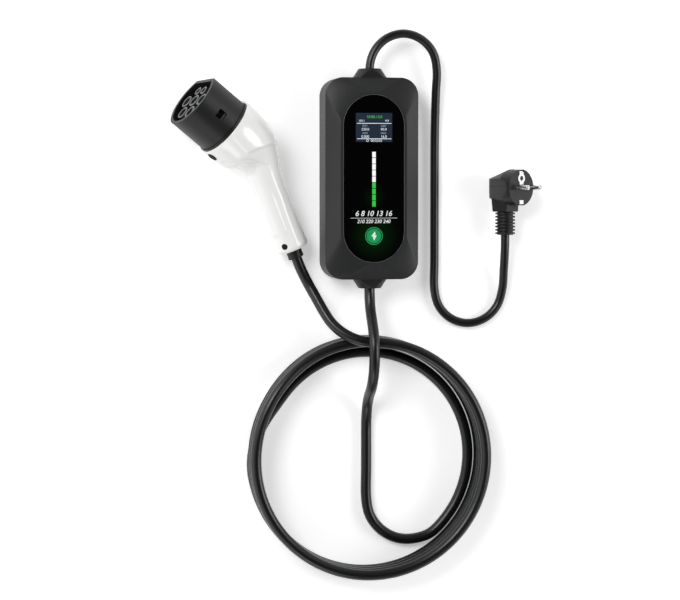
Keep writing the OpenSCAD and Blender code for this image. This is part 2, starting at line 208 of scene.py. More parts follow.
def lit(name, hexa, strength, body):
    """A light behind clear plastic, or a printed sign given a painted glow, a little uneven from
    its diffuser.
    """
    m, t, s, at = start(name)
    spread = add(t, "ShaderNodeTexNoise", {"Scale": 900.0, "Detail": 2.0}, Vector=at)
    tone = add(t, "ShaderNodeMapRange", {"To Min": strength * 0.9, "To Max": strength * 1.08},
               Value=spread.outputs["Fac"])
    s.inputs["Base Color"].default_value = linear(body)
    s.inputs["Roughness"].default_value = 0.12
    s.inputs["Emission Color"].default_value = linear(hexa)
    t.links.new(tone.outputs["Result"], s.inputs["Emission Strength"])
    return m


def glowing(m):
    """Adds the faint green light that spreads under the panel's face from the lights under it."""
    t = m.node_tree
    shader = t.nodes["Principled BSDF"]
    place = add(t, "ShaderNodeTexCoord")
    sources = []
    for y, reach, most in ((TOUCH_Y, 0.032, 0.02), (GREEN_GLOW_Y, 0.016, 0.01)):
        gap = add(t, "ShaderNodeVectorMath", {"operation": "DISTANCE"}, i0=place.outputs["Object"])
        gap.inputs[1].default_value = (0, y, TOP_FACE)
        fall = add(t, "ShaderNodeMapRange",
                   {"From Min": 0.0, "From Max": reach, "To Min": most, "To Max": 0.0,
                    "interpolation_type": "SMOOTHERSTEP"}, Value=gap.outputs["Value"])
        sources.append(fall.outputs["Result"])
    both = add(t, "ShaderNodeMath", {"operation": "ADD"}, i0=sources[0], i1=sources[1])
    t.links.new(both.outputs[0], shader.inputs["Emission Strength"])
    shader.inputs["Emission Color"].default_value = linear(colours().green)
    return m


def make_materials():
    c = colours()
    return {
        # spark eroded ABS: dull charcoal with a fine sandy grain, drawn at 0.6 mm so that it shows
        "box_abs": moulded("Spark eroded ABS", c.box, 0.5, 0.6, 0.45),
        # back printed acrylic: deep black under a mirror smooth face
        "panel_acrylic": glowing(
            moulded("Back printed acrylic", "030303", 0.05, 4.0, 0.02, 0.1, 1.49)),
        # the acrylic's rounded edge: a thin pale line round the panel, a painted highlight where
        # the edge catches the light
        "panel_rim_highlight": moulded("Panel rim highlight", "6A6C70", 0.3, 1.0, 0.05),
        # smoked polycarbonate: the dark light guide between the segments
        "light_guide": moulded("Smoked light guide", "161819", 0.2, 1.0, 0.05),
        # polished white ABS: even, glossy, with a slight waviness from the mould
        "white_abs": moulded("Polished white ABS", c.shell, 0.2, 6.0, 0.05, 0.015, 1.54, 0.3),
        # glass filled PBT: satin black with a fine grain
        "nose_pbt": moulded("Glass filled PBT", c.nose, 0.44, 0.45, 0.22, 0.06, 1.44),
        # the same plastic a little lighter on the towers inside, painted light that lifts them out
        # of the mouth's shade, and pale at their mouths, a painted highlight on their edges
        "tower_pbt_lit": moulded("Glass filled PBT towers, painted lighter", "1E1F20", 0.5, 0.45, 0.15),
        "tower_rim_highlight": moulded("Tower rim highlights", "8C8E90", 0.4, 0.45, 0.1),
        # extruded polyurethane sheath: black with a soft sheen
        "cable_sheath": moulded("Extruded cable sheath", c.cable, 0.31, 1.2, 0.12, 0.08),
        # moulded PVC: dull black of the plug and the boots
        "soft_pvc": moulded("Moulded PVC", "0D0E0F", 0.46, 0.6, 0.2, 0.06, 1.44),
        # rubber stopper: dull black that mirrors next to nothing
        "dark_plug": moulded("Dark stopper", "0C0D0E", 0.8, 0.6, 0.15, ior=1.36),
        # silicone: dull grey seal
        "silicone": moulded("Grey silicone", "58595B", 0.6, 1.0, 0.1),
        # nickel plated brass: bright pins
        "nickel": metal("Nickel plated brass", "E4E5E5", 0.2, 1.0),
        # stamped nickel silver: the pale earth plate and clip
        "earth_plate": metal("Stamped nickel silver", "DCDCDA", 0.42, 1.0),
        # silver plated copper alloy: contact sleeves
        "silver": metal("Silver plated copper", "CDC7B6", 0.25, 0.8),
        # zinc plated steel: screws
        "zinc": metal("Zinc plated steel", "A9ACB0", 0.3, 0.8),
        # solder masked epoxy, tape and cast blocks: satin colours inside the box
        "epoxy_board": moulded("Solder masked board", "1F5A38", 0.4, 1.5, 0.1),
        "relay_case": moulded("Relay case", "2B4F9E", 0.4, 1.0, 0.1),
        "winding_tape": moulded("Winding tape", "C9A227", 0.45, 0.8, 0.2),
        "ferrite_case": moulded("Potted case", "33363A", 0.5, 0.8, 0.2),
        "terminal_pa": moulded("Green polyamide", "5D9C59", 0.5, 0.8, 0.2),
        # back lit display: a blue grey glass with bright, dim and green digits
        "screen_back": lit("Screen glass", "2B3646", 0.5, "131A24"),
        "screen_ink": lit("Screen digits", "E9F0F5", 0.95, "4A525C"),
        "screen_dim": lit("Screen labels", "7F97A8", 0.75, "5C6F80"),
        "screen_green": lit("Screen header digits", "4FC247", 0.9, "1F4420"),
        # lights behind a diffuser: even and bright; the white ink glows too, a painted glow for the
        # light that falls on it
        "white_light": lit("White light bar", "FFFFFF", 0.95, "4A4A4A"),
        "green_light": lit("Green light bar", c.green, 1.0, "0E3312"),
        "print_white_glow": lit("White print with painted glow", "F4F6F6", 0.6, "8A8C8C"),
        # the touch button's lit disc, its brighter ring and the dark well between them
        "touch_green": lit("Green touch light", "1C9A55", 0.8, "0B3D22"),
        "touch_ring": lit("Bright touch ring", "2FB56A", 0.75, "1A5233"),
        "touch_gap": lit("Touch button well", "0B4A28", 0.35, "06180E"),
    }


MATERIALS = {}


def finish_with(obj, key):
    """Gives a piece one material all over."""
    obj.data.materials.clear()
    obj.data.materials.append(MATERIALS[key])


def clean_slate():
    """Leaves edit mode and deselects everything, before an operator adds or changes a piece."""
    if bpy.context.object and bpy.context.object.mode != "OBJECT":
        bpy.ops.object.mode_set(mode="OBJECT")
    bpy.ops.object.select_all(action="DESELECT")


def pick(obj):
    """Makes one piece the active and only selected one."""
    clean_slate()
    bpy.context.view_layer.objects.active = obj
    obj.select_set(True)


def added(name):
    """The object that an operator has just added, named as its piece."""
    obj = bpy.context.object
    obj.name = obj.data.name = name
    return obj


def linked(name, data):
    """A new object in the scene for a mesh or a curve."""
    obj = bpy.data.objects.new(name, data)
    bpy.context.scene.collection.objects.link(obj)
    return obj


def soften(obj, angle):
    """Shades the piece smooth over edges blunter than an angle in degrees."""
    pick(obj)
    bpy.ops.object.shade_smooth_by_angle(angle=math.radians(angle))


def apply_bevel(obj, width, segments, angle):
    """Rounds the edges that are sharper than an angle in degrees."""
    pick(obj)
    b = obj.modifiers.new("edge", "BEVEL")
    b.width, b.segments = width, segments
    b.limit_method, b.angle_limit = "ANGLE", math.radians(angle)
    b.use_clamp_overlap = True
    bpy.ops.object.modifier_apply(modifier=b.name)


def cut_by(obj, tool):
    """Cuts one mesh with another, which is then removed."""
    pick(obj)
    m = obj.modifiers.new("cut", "BOOLEAN")
    m.operation, m.solver, m.object = "DIFFERENCE", "EXACT", tool
    bpy.ops.object.modifier_apply(modifier=m.name)
    bpy.data.objects.remove(tool, do_unlink=True)


def close_up():
    """Turns all faces of the mesh that is being edited outwards and leaves edit mode."""
    bpy.ops.mesh.select_all(action="SELECT")
    bpy.ops.mesh.normals_make_consistent(inside=False)
    bpy.ops.object.mode_set(mode="OBJECT")


def keep(obj, key, slot, *nodes):
    """Gives a piece its finish and its body, and hides the CAD nodes that it stands for."""
    finish_with(obj, key)
    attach(obj, "root")
    if nodes:
        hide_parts(*nodes)
    return obj


def rounded_copy(node, name, width, segments=2, cuts=()):
    """The CAD node's own shape, its sharp edges rounded as they leave a mould, less any cuts."""
    obj = linked(name, NODES[node].data.copy())
    pick(obj)
    bpy.ops.object.mode_set(mode="EDIT")
    bpy.ops.mesh.select_all(action="SELECT")
    bpy.ops.mesh.remove_doubles(threshold=0.004 * MM)
    bpy.ops.mesh.dissolve_limited(angle_limit=math.radians(0.6))
    bpy.ops.object.mode_set(mode="OBJECT")
    apply_bevel(obj, width, segments, 32)
    for tool in cuts:
        cut_by(obj, tool)
    soften(obj, 38)
    m = obj.modifiers.new("flats", "WEIGHTED_NORMAL")
    m.keep_sharp, m.weight = True, 80
    bpy.ops.object.modifier_apply(modifier=m.name)
    return obj


def plate(name, width, length, at, thick, bevel=0.0):
    """A thin rectangular plate at a place on the face panel."""
    clean_slate()
    bpy.ops.mesh.primitive_cube_add(size=1, location=(0, 0, 0))
    obj = added(name)
    obj.data.transform(Matrix.Translation(at) @ Matrix.Diagonal((width, length, thick, 1)))
    if bevel:
        apply_bevel(obj, bevel, 2, 60)
    return obj


def slab(name, outline, thick):
    """A flat outline in millimetres, drawn up to a slab along Z."""
    clean_slate()
    bpy.ops.mesh.primitive_circle_add(vertices=len(outline), radius=MM, fill_type="NGON",
                                      location=(0, 0, 0))
    obj = added(name)
    for v, (x, y) in zip(obj.data.vertices, outline):
        v.co = Vector((x, y, 0)) * MM
    bpy.ops.object.mode_set(mode="EDIT")
    bpy.ops.mesh.select_all(action="SELECT")
    bpy.ops.mesh.extrude_region_move(TRANSFORM_OT_translate={"value": (0, 0, thick * MM)})
    close_up()
    return obj


def turned(name, profile, at, vertices=48, closed=False):
    """A body of revolution about Z, drawn up ring by ring from its radius and height in mm."""
    clean_slate()
    radius, height = profile[0]
    bpy.ops.mesh.primitive_circle_add(vertices=vertices, radius=radius * MM, location=(0, 0, 0))
    obj = added(name)
    bpy.ops.object.mode_set(mode="EDIT")
    bpy.ops.mesh.select_all(action="SELECT")
    bpy.ops.transform.translate(value=(0, 0, height * MM))
    for r, z in profile[1:] + (profile[:1] if closed else []):
        bpy.ops.mesh.extrude_region_move()
        bpy.ops.transform.resize(value=(r / radius, r / radius, 1), center_override=(0, 0, 0))
        bpy.ops.transform.translate(value=(0, 0, (z - height) * MM))
        radius, height = r, z
    bpy.ops.mesh.select_all(action="SELECT")
    bpy.ops.mesh.remove_doubles(threshold=0.001 * MM)
    if not closed:
        bpy.ops.mesh.fill_holes(sides=0)
    close_up()
    obj.data.transform(at)
    return obj


def joined(name, parts):
    """Makes one piece of several."""
    clean_slate()
    for p in parts:
        p.select_set(True)
    bpy.context.view_layer.objects.active = parts[0]
    if len(parts) > 1:
        bpy.ops.object.join()
    return added(name)


def paint_where(obj, key, test):
    """Gives the faces that pass a test a second material."""
    obj.data.materials.append(MATERIALS[key])
    place = len(obj.data.materials) - 1
    for f in obj.data.polygons:
        if test(f.center / MM):
            f.material_index = place


def figures(name, words, size, at, weight=0.0):
    """Plain numbers printed flat on the panel, made a mesh."""
    clean_slate()
    bpy.ops.object.text_add(location=(0, 0, 0))
    text = bpy.context.object.data
    text.body, text.size = words, size
    text.align_x = text.align_y = "CENTER"
    text.extrude, text.offset = PRINT / 2, weight
    bpy.ops.object.convert(target="MESH")
    obj = added(name)
    obj.data.transform(at)
    return obj


# The cables' middle lines in millimetres: the mains lead from box to plug, and the charging cable
# from the box up over the turns to their inner one, and from the turns to the handle.
MAINS = [(0, 111.8, 24), (5, 130, 24), (18, 143, 23.5), (36, 148, 22), (54, 143, 19.5),
         (67, 130, 17), (72, 112, 14), (72, 90, 10.5), (72, 66, 7), (72, 42, 5), (72, 18, 4.5),
         (72, -8, 4.5), (72, -34, 4.5), (72, -60, 4.5), (72, -88, 4.5), (72, -114, 4.5),
         (77, -132, 4.5), (90, -145, 4.5), (108, -150, 4.5), (126, -145, 4.5), (139, -132, 4.5),
         (144, -114, 7), (144, -94, 12.6), (144, -76, 16.7), (144, -58, 18.1)]
TO_BOX = [(0, -111.8, 24), (0, -122, 25), (0, -133, 29), (0, -144, 37.5), (0, -155, 46),
          (0, -166, 51), (0, -178, 52.5), (0, -190, 51), (0, -202, 45.5), (0, -213, 36),
          (0, -224, 20), (0, -236, 10.5), (0, -256, 5.5), (0, -276, 5.5), (0, -300, 5.5),
          (0, -329.5, 5.5), (4, -348.5, 5.5), (16, -364, 5.5), (33.5, -373, 5.5), (53, -373.5, 5.5),
          (71, -366.5, 5.5)]
TO_HANDLE = [(-10.5, -165, 38.5), (-22, -161, 36.5), (-32.5, -154.5, 33), (-41, -146, 29),
             (-47.5, -135.5, 24.5), (-54.5, -122, 19.5), (-61.5, -108.5, 15), (-68.5, -94.5, 14),
             (-74.5, -80.5, 15.4)]
# The coil's middle, the radius of its inner and outer turns, the height of a cable's middle on the
# floor and the rise from a turn to the next.
COIL = Vector((0, -286, 0))
INNER, OUTER = 107.5, 119.5
LYING, RISE = 5.5, 11


def ease(t):
    """A smooth step from 0 to 1."""
    t = max(0.0, min(1.0, t))
    return t * t * (3 - 2 * t)


def coil_turns():
    """The inner turn on the floor, then the four stacked ones, one step up a turn at the back."""
    out = [(INNER, a, LYING) for a in range(-32, 150, 14)]
    out += [(INNER + (OUTER - INNER) * ease((a - 144) / 40), a, LYING)
            for a in (152, 162, 172, 184)]
    for a in range(196, 4 * 360 + 86, 12):
        whole, part = divmod(a - 110, 360)
        climb = RISE * (whole - 1 + ease(part / 44)) if a > 470 else 0
        out.append((OUTER, a, LYING + climb))
    out.append((OUTER, 4 * 360 + 88, LYING + 3 * RISE))
    return [tuple(COIL + Vector((r * math.cos(math.radians(a)), r * math.sin(math.radians(a)), z)))
            for r, a, z in out]


def cable(name, route, width, first, last):
    """A round cable as one curve through its route, straight out of both ends."""
    data = bpy.data.curves.new(name, "CURVE")
    data.dimensions, data.bevel_depth = "3D", width / 2
    data.bevel_resolution, data.resolution_u = 6, 5
    data.use_fill_caps = True
    line = data.splines.new("BEZIER")
    line.bezier_points.add(len(route) - 1)
    pts = [Vector(p) * MM for p in route]
    for b, p in zip(line.bezier_points, pts):
        b.co = p
    for i, b in enumerate(line.bezier_points):
        # the handles are a third of the way to the neighbours, level where the cable lies level
        before, after = pts[max(i - 1, 0)], pts[min(i + 1, len(pts) - 1)]
        back, ahead = (pts[i] - before).length / 3, (after - pts[i]).length / 3
        if i == 0:
            along, back = Vector(first), ahead
        elif i == len(pts) - 1:
            along, ahead = Vector(last), back
        else:
            along = after - before
            if pts[i].z in (before.z, after.z):
                along.z = 0
            along.normalize()
        b.handle_left_type = b.handle_right_type = "FREE"
        b.handle_left, b.handle_right = pts[i] - along * back, pts[i] + along * ahead
    return linked(name, data), line.calc_length()


# The handle's sections in the nose's frame: x, y, tilt, half height and half width, in mm.
HANDLE_RINGS = [
    (44, 0, 0, 33, 33), (37, 0, 0, 33.3, 33.3), (30, 0, 0, 33, 33), (18, 0.5, 0, 32, 31.5),
    (11, 0.3, 4, 30, 29.8), (4, 0.5, 10, 27, 27.5), (-2, 1.7, 15, 23.8, 25),
    (-8, 3.8, 20, 20.8, 22.5), (-14, 7, 26, 18.6, 20.2), (-20.8, 12, 30, 17.2, 18.3),
    (-36.4, 21, 30, 16, 15.8), (-55.4, 32, 30, 15.8, 15), (-76.22, 44, 30, 16.4, 15.3),
    (-91.8, 53, 30, 17.6, 16.2)]
# The grip's rounded end, and its mouth that leads back to the inner wall.
GRIP_END = [
    (-89.2, 51.5, 30, 16.95, 15.6), (-90.58, 52.3, 30, 16.1, 14.8), (-91.45, 52.8, 30, 14.8, 13.5),
    (-91.8, 53, 30, 12.8, 11.6), (-91.8, 53, 30, 8, 8), (-84, 48.5, 30, 8, 8),
    (-76.22, 44, 30, 8, 8)]
# The shell's wall in millimetres, and the grip's tilt against the nose's axis.
SHELL_WALL = 3
GRIP_TILT = math.radians(30)
# Lines drawn on the handle's side, seen from beside: the rim of the head's flatter cheek, the fold
# under the head and the ridge along the grip.
CHEEK_RIM = [(48, 11.6), (42.6, 12), (18, 14.3), (12.7, 5.4), (3.5, -6.7), (-5, -18)]
HEAD_FOLD = [(27, 36), (25.2, 32.8), (17.5, 27.4), (6.1, 17.5), (-2, 13), (-16, 6.5)]
GRIP_RIDGE = [(2, 5), (-11.3, 9.7), (-26, 15.8), (-44, 24), (-64, 38), (-84, 50)]


def between(a, b, c, d, t):
    """A value on the smooth curve from b to c, with a and d on either side."""
    return 0.5 * (2 * b + (c - a) * t + (2 * a - 5 * b + 4 * c - d) * t * t
                  + (3 * b - 3 * c + d - a) * t ** 3)


def fine_rings(steps, wall, last):
    """The handle's sections up to one of them, drawn closer together and taken in by the wall."""
    rings, out = HANDLE_RINGS, []
    for i in range(last):
        four = rings[max(i - 1, 0)], rings[i], rings[i + 1], rings[min(i + 2, len(rings) - 1)]
        out += [[between(*v, k / steps) for v in zip(*four)] for k in range(steps)]
    out.append(rings[last])
    return [(x, y, tilt, high - wall, wide - wall) for x, y, tilt, high, wide in out]


def carry_ring(old, new):
    """Brings the selected ring of the handle from one section to the next."""
    was, now = Vector(old[:2]).to_3d() * MM, Vector(new[:2]).to_3d() * MM
    about = {"orient_axis": "Z", "center_override": was}
    if old[2]:
        bpy.ops.transform.rotate(value=math.radians(-old[2]), **about)
    bpy.ops.transform.resize(value=(1, new[3] / old[3], new[4] / old[4]), center_override=was)
    if new[2]:
        bpy.ops.transform.rotate(value=math.radians(new[2]), **about)
    bpy.ops.transform.translate(value=now - was)


def raise_by(obj, name, depth, weigh):
    """Lifts or sinks the handle by a depth where weigh, from a point in millimetres, says so.

    The side that lies on the floor gets a third of it, so that it rests there and doesn't sink in.
    """
    group = obj.vertex_groups.new(name=name)
    for v in obj.data.vertices:
        w = weigh(v.co / MM, v.normal) * (1 if v.co.z > 0 else 0.33)
        if w > 0:
            group.add([v.index], min(w, 1.0), "REPLACE")
    pick(obj)
    m = obj.modifiers.new(name, "DISPLACE")
    m.strength, m.mid_level, m.vertex_group = depth * MM, 0.0, name
    bpy.ops.object.modifier_apply(modifier=m.name)
    obj.vertex_groups.clear()


def off_line(p, line):
    """How far a point lies from a drawn line in side view, and on which side of it."""
    best, side = 99.0, 0.0
    q = Vector((p.x, p.y))
    for a, b in zip(line, line[1:]):
        a, along = Vector(a), Vector(b) - Vector(a)
        t = max(0.0, min(1.0, (q - a).dot(along) / along.length_squared))
        gap = (q - a - along * t).length
        if gap < best:
            best, side = gap, along.x * (q - a).y - along.y * (q - a).x
    return best, side


def head_cheek(p, n):
    """The flatter cheek of the head, which ends in a crease from the collar to the bend."""
    if abs(p.z) < 2 or p.z * n.z < 0 or p.x < -14:
        return 0.0
    gap, side = off_line(p, CHEEK_RIM)
    fade = ease((45 - p.x) / 5) * ease((abs(p.z) - 2) / 9)
    return fade * (math.exp(-gap / 12) if side > 0 else ease(1 - gap / 1.7))


def head_hollow(p, n):
    """The hollow behind the fold, where the head's underside turns into the grip."""
    if p.z * n.z < 0 and n.y < 0.2:
        return 0.0
    gap, side = off_line(p, HEAD_FOLD)
    depth = math.exp(-gap / 9) if side < 0 else ease(1 - gap / 2.0)
    return ease((p.x + 14) / 8) * depth * ease((30 - p.x) / 6)


def grip_ridge(p, n):
    """The soft edge that runs down each side of the grip."""
    if p.z * n.z < 0 or p.x > 0:
        return 0.0
    gap = off_line(p, GRIP_RIDGE)[0]
    return ease(-p.x / 10) * math.exp(-(gap / 3.0) ** 2)


def grip_panel(p, n):
    """The grip's palm panel, which ends in a step a thumb's width above the grip's end."""
    along = -p.x * math.cos(GRIP_TILT) + p.y * math.sin(GRIP_TILT)
    out = p.x * math.sin(GRIP_TILT) + p.y * math.cos(GRIP_TILT)
    if along < 24 or along > 88:
        return 0.0
    round_it = math.degrees(math.atan2(abs(p.z), out))
    return ease((along - 24) / 24) * ease((86.4 - along) / 0.9) * ease((72 - round_it) / 12)


# The studio lamps by name, place, diameter in metres and power in watts, and what they face.
LAMPS = (("key", (-1.5, 1.1, 2.4), 1.3, 40), ("fill", (2.1, -0.1, 1.5), 1.4, 24),
         ("foot", (-0.5, -2.3, 1.3), 1.2, 8))
LAMPS_FACE = Vector((0, -0.1, 0))
# What the paper shines by itself for the camera and in reflections, so that it shows white.
PAPER_GLOW = 0.38
# The camera looks at a point from far above it, a little to the left.
VIEW_POINT = Vector((-0.030, -0.124, 0.02))
VIEW_FROM = Vector((-0.17, 0.05, 0.975)).normalized()
VIEW_DISTANCE = 2.32


def seamless_paper():
    """The floor's finish: pale paper that shows white and keeps the charger's shadow."""
    m = bpy.data.materials.new("Seamless paper")
    m.use_nodes = True
    t = m.node_tree
    t.nodes.clear()
    out = add(t, "ShaderNodeOutputMaterial")
    place = add(t, "ShaderNodeTexCoord")
    fibre = add(t, "ShaderNodeTexNoise", {"Scale": 400.0, "Detail": 3.0},
                Vector=place.outputs["Object"])
    tone = add(t, "ShaderNodeMapRange", {"To Min": 0.93, "To Max": 0.96},
               Value=fibre.outputs["Fac"])
    paper = add(t, "ShaderNodeBsdfDiffuse", None, Color=tone.outputs["Result"])
    glow = add(t, "ShaderNodeEmission", {"Color": (1, 1, 1, 1)})
    ray = add(t, "ShaderNodeLightPath")
    looks = add(t, "ShaderNodeMath", {"operation": "MAXIMUM"}, i0=ray.outputs["Is Camera Ray"],
                i1=ray.outputs["Is Glossy Ray"])
    seen = add(t, "ShaderNodeMath", {"operation": "MULTIPLY"}, i0=looks.outputs[0])
    seen.inputs[1].default_value = PAPER_GLOW
    t.links.new(seen.outputs[0], glow.inputs["Strength"])
    both = add(t, "ShaderNodeAddShader", None, i0=paper.outputs["BSDF"],
               i1=glow.outputs["Emission"])
    t.links.new(both.outputs["Shader"], out.inputs["Surface"])
    return m


def soft_room():
    """The world: a bright wall on the left, a dimmer one on the right, dark ends and ceiling."""
    world = bpy.data.worlds.new("Studio")
    world.use_nodes = True
    t = world.node_tree
    back = t.nodes["Background"]
    place = add(t, "ShaderNodeTexCoord")
    parts = add(t, "ShaderNodeSeparateXYZ", None, Vector=place.outputs["Generated"])
    height = add(t, "ShaderNodeMapRange",
                 {"From Min": 0.35, "From Max": 0.92, "To Min": 1.0, "To Max": 0.04},
                 Value=parts.outputs["Z"])
    aside = add(t, "ShaderNodeMath", {"operation": "ABSOLUTE"}, i0=parts.outputs["X"])
    walls = add(t, "ShaderNodeMapRange",
                {"From Min": 0.15, "From Max": 0.6, "To Min": 0.28, "To Max": 1.3},
                Value=aside.outputs[0])
    left = add(t, "ShaderNodeMapRange",
               {"From Min": -0.6, "From Max": 0.6, "To Min": 1.12, "To Max": 0.62},
               Value=parts.outputs["X"])
    both = add(t, "ShaderNodeMath", {"operation": "MULTIPLY"}, i0=walls.outputs["Result"],
               i1=left.outputs["Result"])
    room = add(t, "ShaderNodeMath", {"operation": "MULTIPLY"}, i0=height.outputs["Result"],
               i1=both.outputs[0])
    ray = add(t, "ShaderNodeLightPath")
    shown = add(t, "ShaderNodeMath", {"operation": "MAXIMUM"}, i0=room.outputs[0],
                i1=ray.outputs["Is Camera Ray"])
    t.links.new(shown.outputs[0], back.inputs["Strength"])
    back.inputs["Color"].default_value = (1, 1, 1, 1)
    return world


class CHARGER_OT_stage(bpy.types.Operator):
    """Adds the pale floor, the soft studio light and the camera above the charger"""
    bl_idname = "charger.stage"
    bl_label = "Stage"

    def execute(self, context):
        clean_slate()
        bpy.ops.mesh.primitive_plane_add(size=12, location=(0, 0, 0))
        floor = context.object
        floor.name = "studio_floor"
        floor.data.transform(Matrix.Translation((0, 0, -0.4 * MM)))
        floor.data.materials.append(seamless_paper())
        context.scene.world = soft_room()

        for name, at, size, power in LAMPS:
            data = bpy.data.lights.new(name, "AREA")
            data.shape, data.size, data.energy = "DISK", size, power
            lamp = linked(name, data)
            lamp.location = at
            lamp.rotation_mode = "QUATERNION"
            lamp.rotation_quaternion = (LAMPS_FACE - Vector(at)).to_track_quat("-Z", "Y")

        data = bpy.data.cameras.new("camera")
        data.lens, data.sensor_width = 120, 36
        data.clip_start, data.clip_end = 0.1, 50
        camera = linked("camera", data)
        right = Vector((0, 1, 0)).cross(VIEW_FROM).normalized()
        aim = Matrix((right, VIEW_FROM.cross(right), VIEW_FROM)).transposed().to_4x4()
        camera.matrix_world = Matrix.Translation(VIEW_POINT + VIEW_FROM * VIEW_DISTANCE) @ aim
        context.scene.camera = camera
        context.scene.view_settings.view_transform = "Standard"
        return {"FINISHED"}


class CHARGER_OT_cables(bpy.types.Operator):
    """Lays the charging cable with its coil, and the mains lead"""
    bl_idname = "charger.cables"
    bl_label = "Cables"

    def execute(self, context):
        s = sizes()
        route = TO_BOX + coil_turns() + TO_HANDLE
        obj, length = cable("charging_cable", route, s.cable_width, (0, -1, 0),
                            (-0.373, 0.923, 0.096))
        keep(obj, "cable_sheath", "cable_black", "box_lead", "handle_lead", "charge_coil")
        obj, length = cable("mains_cable", MAINS, s.lead_width, (0, 1, 0), (0, 1, 0))
        keep(obj, "cable_sheath", "cable_black", "mains_lead")
        return {"FINISHED"}


class CHARGER_OT_nodes(bpy.types.Operator):
    """Gives each carried over solid its own finish"""
    bl_idname = "charger.nodes"
    bl_label = "Finishes"

    def execute(self, context):
        plan = {
            "box_abs": "rear_cover front_cover",
            "silicone": "cover_seal nose_seal",
            "zinc": "cover_screws shell_screws",
            "panel_acrylic": "face_panel display_module",
            "light_guide": "led_board",
            "touch_gap": "touch_button",
            "epoxy_board": "main_board",
            "relay_case": "relays",
            "winding_tape": "transformer",
            "ferrite_case": "leakage_sensor capacitors cable_clamp",
            "terminal_pa": "terminal_block",
            "soft_pvc": "top_gland bottom_gland handle_boot plug_body plug_boot",
            "nose_pbt": "nose_shroud contact_carrier",
            "silver": "power_contacts signal_contacts",
            "white_abs": "left_shell right_shell",
            "dark_plug": "head_cap grip_cap",
            "nickel": "plug_pin_left plug_pin_right earth_clip earth_socket",
        }
        for key, nodes in plan.items():
            for node in nodes.split():
                finish_with(NODES[node], key)
        return {"FINISHED"}


class CHARGER_OT_handle(bpy.types.Operator):
    """Lofts the white handle through its sections, sets off its panels and parts it in halves"""
    bl_idname = "charger.handle"
    bl_label = "Handle"

    def execute(self, context):
        clean_slate()
        bpy.ops.mesh.primitive_circle_add(vertices=64, radius=MM, location=(0, 0, 0))
        obj = context.object
        obj.data.transform(turn(90, "Y"))
        bpy.ops.object.mode_set(mode="EDIT")
        bpy.ops.mesh.select_all(action="SELECT")
        # six steps between two sections outside and two inside, where it doesn't show
        outer, inner = fine_rings(6, 0, 13), fine_rings(2, SHELL_WALL, 12)
        stations = outer[:-2] + GRIP_END + inner[::-1]
        carry_ring((0, 0, 0, 1, 1), stations[0])
        for a, b in zip(stations, stations[1:]):
            bpy.ops.mesh.extrude_region_move()
            carry_ring(a, b)
        bpy.ops.mesh.select_all(action="SELECT")
        bpy.ops.mesh.remove_doubles(threshold=0.001 * MM)
        bpy.ops.mesh.select_all(action="DESELECT")
        bpy.ops.mesh.select_non_manifold()
        bpy.ops.mesh.bridge_edge_loops()
        close_up()
        m = obj.modifiers.new("smooth", "SUBSURF")
        m.levels = m.render_levels = 1
        m.boundary_smooth = "PRESERVE_CORNERS"
        bpy.ops.object.modifier_apply(modifier=m.name)
        raise_by(obj, "cheek", 0.9, head_cheek)
        raise_by(obj, "hollow", -1.2, head_hollow)
        raise_by(obj, "ridge", 0.6, grip_ridge)
        raise_by(obj, "palm", 1.1, grip_panel)

        # the holes for the dark caps under the head and beside the grip's end
        under = Matrix.Translation((0.036, 0.033, 0)) @ turn(90, "X")
        beside = turn(150, "Z") @ turn(52, "X") @ Matrix.Translation((0.098, 0, 0.0164))
        for place, radius, depth in ((under, 5.0, 12), (beside, 3.2, 7)):
            clean_slate()
            bpy.ops.mesh.primitive_cylinder_add(vertices=48, radius=radius * MM,
                                                depth=depth * MM, location=(0, 0, 0))
            tool = context.object
            tool.data.transform(place)
            cut_by(obj, tool)

        # points that nearly lie on the middle plane go on it, so that the halves part cleanly
        for v in obj.data.vertices:
            if abs(v.co.z) < 0.001 * MM:
                v.co.z = 0.0
        # each half is what a cube over the other side leaves
        for side, node in ((1, "right_shell"), (-1, "left_shell")):
            half = linked("handle_" + node, obj.data.copy())
            clean_slate()
            bpy.ops.mesh.primitive_cube_add(size=0.4, location=(0, 0, 0))
            tool = context.object
            tool.data.transform(Matrix.Translation((0, 0, -0.2 * side)))
            cut_by(half, tool)
            apply_bevel(half, 0.22 * MM, 2, 50)
            half.data.transform(NOSE_PLACE)
            soften(half, 40)
            keep(half, "white_abs", "white_shell", node)
        bpy.data.objects.remove(obj, do_unlink=True)
        return {"FINISHED"}


class CHARGER_OT_box(bpy.types.Operator):
    """Rounds the moulded edges of the box covers and their glands"""
    bl_idname = "charger.box"
    bl_label = "Box covers"

    def execute(self, context):
        edge = sizes().edge
        for node, width, key, slot in (("rear_cover", 1.5, "box_abs", "box_black"),
                                       ("front_cover", 1.5, "box_abs", "box_black"),
                                       ("top_gland", 1.4, "soft_pvc", "soft_black"),
                                       ("bottom_gland", 1.4, "soft_pvc", "soft_black")):
            keep(rounded_copy(node, "soft_" + node, width * edge, 3), key, slot, node)
        return {"FINISHED"}


class CHARGER_OT_panel(bpy.types.Operator):
    """Makes the glossy face panel with its fine pale edge, a painted highlight"""
    bl_idname = "charger.panel"
    bl_label = "Face panel"

    def execute(self, context):
        s = sizes()
        obj = rounded_copy("face_panel", "glossy_panel", 0.35 * MM, 3)
        keep(obj, "panel_acrylic", "panel_black", "face_panel")
        # the panel's ends are half circles; the pale edge, a painted highlight, is 0.38 mm wide and
        # 0.7 mm deep
        radius = s.panel_width / MM / 2
        straight = s.panel_length / MM / 2 - radius

        def in_rim_highlight(p):
            across, along = p.x, max(abs(p.y) - straight, 0.0)
            return p.z > TOP_FACE / MM - 0.7 and math.hypot(across, along) > radius - 0.38
        # the faces at the edge get the pale finish: a painted highlight
        paint_where(obj, "panel_rim_highlight", in_rim_highlight)
        return {"FINISHED"}


